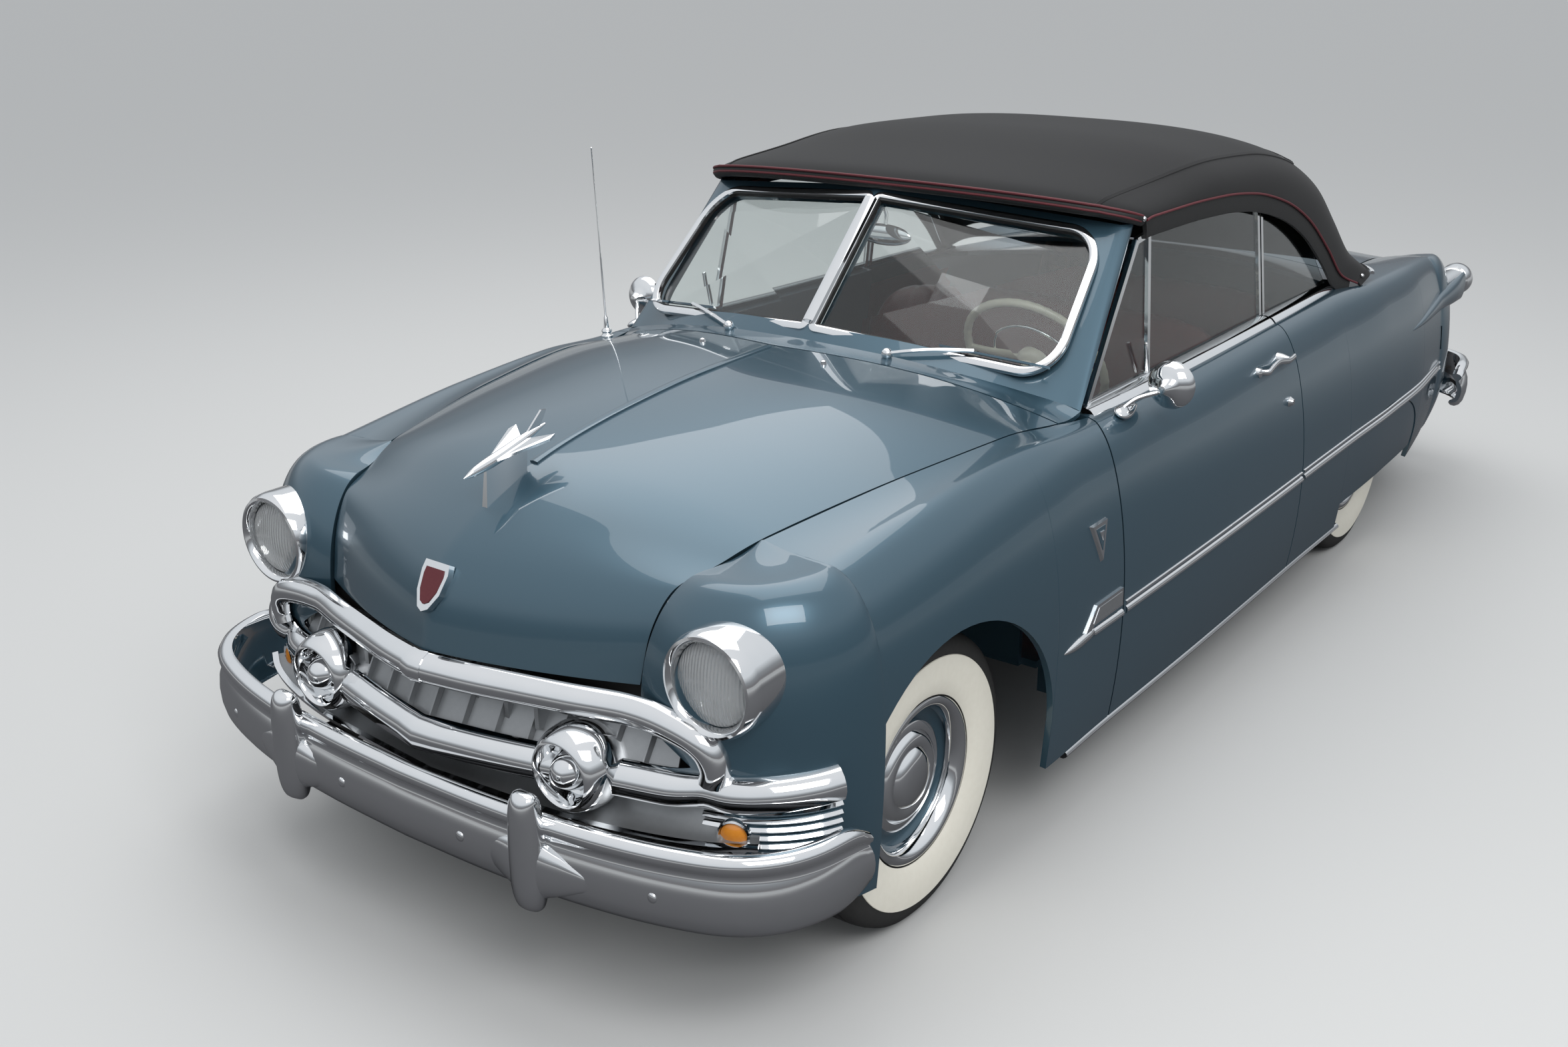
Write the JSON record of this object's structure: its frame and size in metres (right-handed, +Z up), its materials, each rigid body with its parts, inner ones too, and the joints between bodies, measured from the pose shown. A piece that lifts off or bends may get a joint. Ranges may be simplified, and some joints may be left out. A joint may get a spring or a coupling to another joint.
{
  "type": "convertible car",
  "caption": "1950s two-door convertible with its fabric top up, twin-bullet grille, opening doors, hood and trunk lid, steered front wheels and skirted rear wheels.",
  "frame": {"origin": "on the ground in the middle of the car's length and width", "axes": "+Z up, +Y towards the tail, +X towards the car's left side"},
  "size_m": [1.908, 5.036, 1.5862],
  "materials": {
    "body_paint": "gloss metallic",
    "chrome": "polished",
    "grille_silver": "satin silver",
    "tyre_rubber": "matt with a cream band",
    "glass": "clear",
    "top_fabric": "coated cloth",
    "seat_leather": "grained",
    "ivory": "gloss",
    "chassis_black": "satin black",
    "iron": "bare"
  },
  "bodies": {
    "body": {"fender_left": "body_paint", "fender_right": "body_paint", "quarter_left": "body_paint", "quarter_right": "body_paint", "skirt_left": "body_paint", "skirt_right": "body_paint", "cowl": "body_paint", "windshield_frame": "body_paint", "windshield_glass_left": "glass", "windshield_glass_right": "glass", "quarter_glass_left": "glass", "quarter_glass_right": "glass", "rear_deck": "body_paint", "rear_panel": "body_paint", "soft_top": "top_fabric", "floor_pan": "body_paint", "firewall": "body_paint", "dashboard": "body_paint", "steering_column": "ivory", "front_seat": "seat_leather", "rear_seat": "seat_leather", "bumper_front": "chrome", "bumper_rear": "chrome", "grille_surround": "chrome", "grille_bar": "chrome", "grille_panel": "grille_silver", "headlamp_left": "chrome", "headlamp_right": "chrome", "tail_lamp_left": "chrome", "tail_lamp_right": "chrome", "chassis_frame": "chassis_black", "front_suspension": "chassis_black", "rear_axle": "chassis_black", "engine": "iron", "fuel_tank": "chassis_black", "exhaust": "iron", "antenna": "chrome"},
    "door_left": {"door_left": "body_paint", "door_glass_left": "glass", "mirror_left": "chrome"},
    "door_right": {"door_right": "body_paint", "door_glass_right": "glass", "mirror_right": "chrome"},
    "hood": {"hood": "body_paint", "hood_ornament": "chrome"},
    "trunk_lid": {"trunk_lid": "body_paint"},
    "steering_wheel": {"steering_wheel": "ivory"},
    "knuckle_left": {"knuckle_left": "chassis_black"},
    "knuckle_right": {"knuckle_right": "chassis_black"},
    "wheel_front_left": {"wheel_front_left": "chrome", "tyre_front_left": "tyre_rubber"},
    "wheel_front_right": {"wheel_front_right": "chrome", "tyre_front_right": "tyre_rubber"},
    "wheel_rear_left": {"wheel_rear_left": "chrome", "tyre_rear_left": "tyre_rubber"},
    "wheel_rear_right": {"wheel_rear_right": "chrome", "tyre_rear_right": "tyre_rubber"}
  },
  "joints": [
    {"name": "door_left_hinge", "type": "hinge", "parent": "body", "child": "door_left", "pos_m": [0.927, -0.896, 0.6], "axis": [0, 0, -1], "range_deg": [0, 65]},
    {"name": "door_right_hinge", "type": "hinge", "parent": "body", "child": "door_right", "pos_m": [-0.927, -0.896, 0.6], "axis": [0, 0, 1], "range_deg": [0, 65]},
    {"name": "hood_hinge", "type": "hinge", "parent": "body", "child": "hood", "pos_m": [0, -0.82, 1.09], "axis": [-1, 0, 0], "range_deg": [0, 42]},
    {"name": "trunk_hinge", "type": "hinge", "parent": "body", "child": "trunk_lid", "pos_m": [0, 1.2, 1.035], "axis": [1, 0, 0], "range_deg": [0, 60]},
    {"name": "steer_left", "type": "hinge", "parent": "body", "child": "knuckle_left", "pos_m": [0.64, -1.67, 0.352], "axis": [0, 0, 1], "range_deg": [-30, 30]},
    {"name": "steer_right", "type": "hinge", "parent": "body", "child": "knuckle_right", "pos_m": [-0.64, -1.67, 0.352], "axis": [0, 0, 1], "range_deg": [-30, 30]},
    {"name": "steering_wheel_turn", "type": "hinge", "parent": "body", "child": "steering_wheel", "pos_m": [0.37, -0.4, 0.985], "axis": [0, 0.8713, 0.4907], "range_deg": [-540, 540]},
    {"name": "roll_front_left", "type": "hinge", "parent": "knuckle_left", "child": "wheel_front_left", "pos_m": [0.735, -1.67, 0.352], "axis": [1, 0, 0], "continuous": true},
    {"name": "roll_front_right", "type": "hinge", "parent": "knuckle_right", "child": "wheel_front_right", "pos_m": [-0.735, -1.67, 0.352], "axis": [1, 0, 0], "continuous": true},
    {"name": "roll_rear_left", "type": "hinge", "parent": "body", "child": "wheel_rear_left", "pos_m": [0.735, 1.226, 0.352], "axis": [1, 0, 0], "continuous": true},
    {"name": "roll_rear_right", "type": "hinge", "parent": "body", "child": "wheel_rear_right", "pos_m": [-0.735, 1.226, 0.352], "axis": [1, 0, 0], "continuous": true}
  ],
  "couplings": [
    {"joint": "steer_right", "follows": "steer_left", "ratio": 1},
    {"joint": "steering_wheel_turn", "follows": "steer_left", "ratio": 18}
  ]
}
